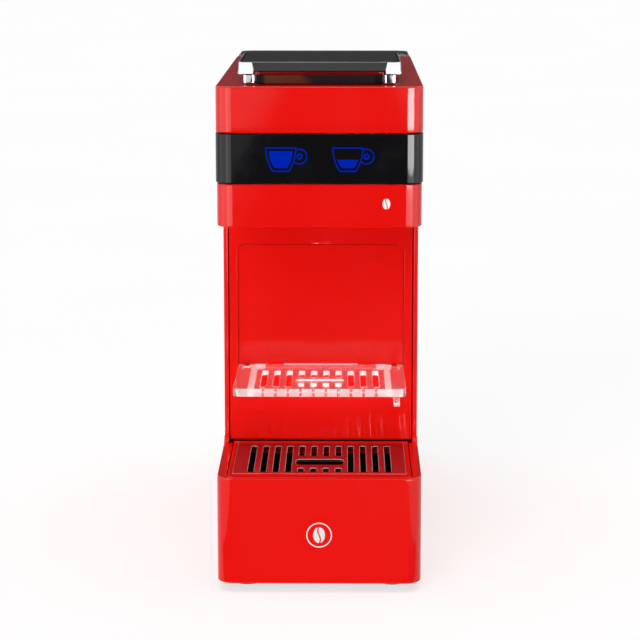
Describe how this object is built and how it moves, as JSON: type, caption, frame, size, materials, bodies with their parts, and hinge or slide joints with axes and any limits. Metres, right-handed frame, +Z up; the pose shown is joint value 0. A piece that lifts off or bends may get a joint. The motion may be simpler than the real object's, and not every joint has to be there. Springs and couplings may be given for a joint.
{
  "type": "pod coffee machine",
  "caption": "Slim C-shaped pod coffee machine with a closing lever over the capsule slot, fold-up cup shelf, drip tray drawer, used-capsule drawer and rear water tank.",
  "frame": {"origin": "middle of the footprint on the surface the feet rest on", "axes": "+Z up, -Y towards the user and the cup, +X to the user's right"},
  "size_m": [0.1004, 0.29, 0.2585],
  "materials": {
    "red_gloss": "glossy red housing plastic",
    "black_gloss": "piano black",
    "chrome": "polished",
    "steel": "polished stainless",
    "clear": "clear moulded plastic",
    "smoke": "smoked translucent plastic",
    "dark_plastic": "fine matte moulding",
    "rubber": "matte",
    "board": "printed circuit board",
    "brass": "turned",
    "alloy": "cast"
  },
  "bodies": {
    "machine": {"base_pan": "dark_plastic", "foot_front_left": "rubber", "foot_front_right": "rubber", "foot_rear_left": "rubber", "foot_rear_right": "rubber", "pan_screw_front_left": "steel", "pan_screw_front_right": "steel", "pan_screw_rear_left": "steel", "pan_screw_rear_right": "steel", "left_side_cover": "red_gloss", "right_side_cover": "red_gloss", "rear_cover": "dark_plastic", "bin_bay": "red_gloss", "top_cover": "red_gloss", "touch_panel": "black_gloss", "head_lower_cover": "red_gloss", "front_window": "smoke", "lever_rest_left": "chrome", "lever_rest_right": "chrome", "brew_frame": "alloy", "brew_head": "brass", "capsule_chute": "dark_plastic", "coffee_spout": "dark_plastic", "pump_barrel": "brass", "pump_coil": "dark_plastic", "pump_mount_front": "rubber", "pump_mount_rear": "rubber", "flow_meter": "clear", "chassis_shelf": "alloy", "thermoblock": "alloy", "control_board": "board", "touch_board": "board", "inlet_hose": "clear", "pressure_hose": "clear", "tank_dock": "red_gloss", "tank_seal": "rubber", "switch_frame": "dark_plastic", "cord_gland": "rubber"},
    "tray": {"tray_housing": "red_gloss", "drip_tub": "red_gloss"},
    "grid": {"drip_grid": "steel"},
    "drawer": {"drawer_front": "red_gloss", "capsule_bin": "dark_plastic", "shelf_pin_left": "steel", "shelf_pin_right": "steel"},
    "shelf": {"cup_shelf": "clear"},
    "lever": {"lever_frame": "chrome", "lever_insert": "black_gloss", "lever_pin": "steel"},
    "piston": {"brew_piston": "brass", "piston_seal": "rubber"},
    "tank": {"water_tank": "clear"},
    "lid": {"tank_lid": "smoke"},
    "rocker": {"power_rocker": "black_gloss"}
  },
  "joints": [
    {"name": "lever_hinge", "type": "hinge", "parent": "machine", "child": "lever", "pos_m": [0, -0.0456, 0.2532], "axis": [-1, 0, 0], "range_deg": [0, 75]},
    {"name": "piston_slide", "type": "slide", "parent": "machine", "child": "piston", "axis": [0, 1, 0], "range_m": [0, 0.0162]},
    {"name": "drawer_slide", "type": "slide", "parent": "machine", "child": "drawer", "axis": [0, -1, 0], "range_m": [0, 0.074]},
    {"name": "shelf_hinge", "type": "hinge", "parent": "drawer", "child": "shelf", "pos_m": [0, -0.0682, 0.0974], "axis": [-1, 0, 0], "range_deg": [0, 90]},
    {"name": "tray_slide", "type": "slide", "parent": "machine", "child": "tray", "axis": [0, -1, 0], "range_m": [0, 0.074]},
    {"name": "grid_lift", "type": "slide", "parent": "tray", "child": "grid", "axis": [0, 0, 1], "range_m": [0, 0.03]},
    {"name": "tank_lift", "type": "slide", "parent": "machine", "child": "tank", "axis": [0, 0, 1], "range_m": [0, 0.06]},
    {"name": "tank_lid_hinge", "type": "hinge", "parent": "tank", "child": "lid", "pos_m": [0, 0.1075, 0.2461], "axis": [1, 0, 0], "range_deg": [0, 85]},
    {"name": "rocker_hinge", "type": "hinge", "parent": "machine", "child": "rocker", "pos_m": [0.024, 0.141, 0.017], "axis": [-1, 0, 0], "range_deg": [0, 14]}
  ],
  "couplings": [
    {"joint": "piston_slide", "follows": "lever_hinge", "m_per_rad": 0.0122}
  ]
}
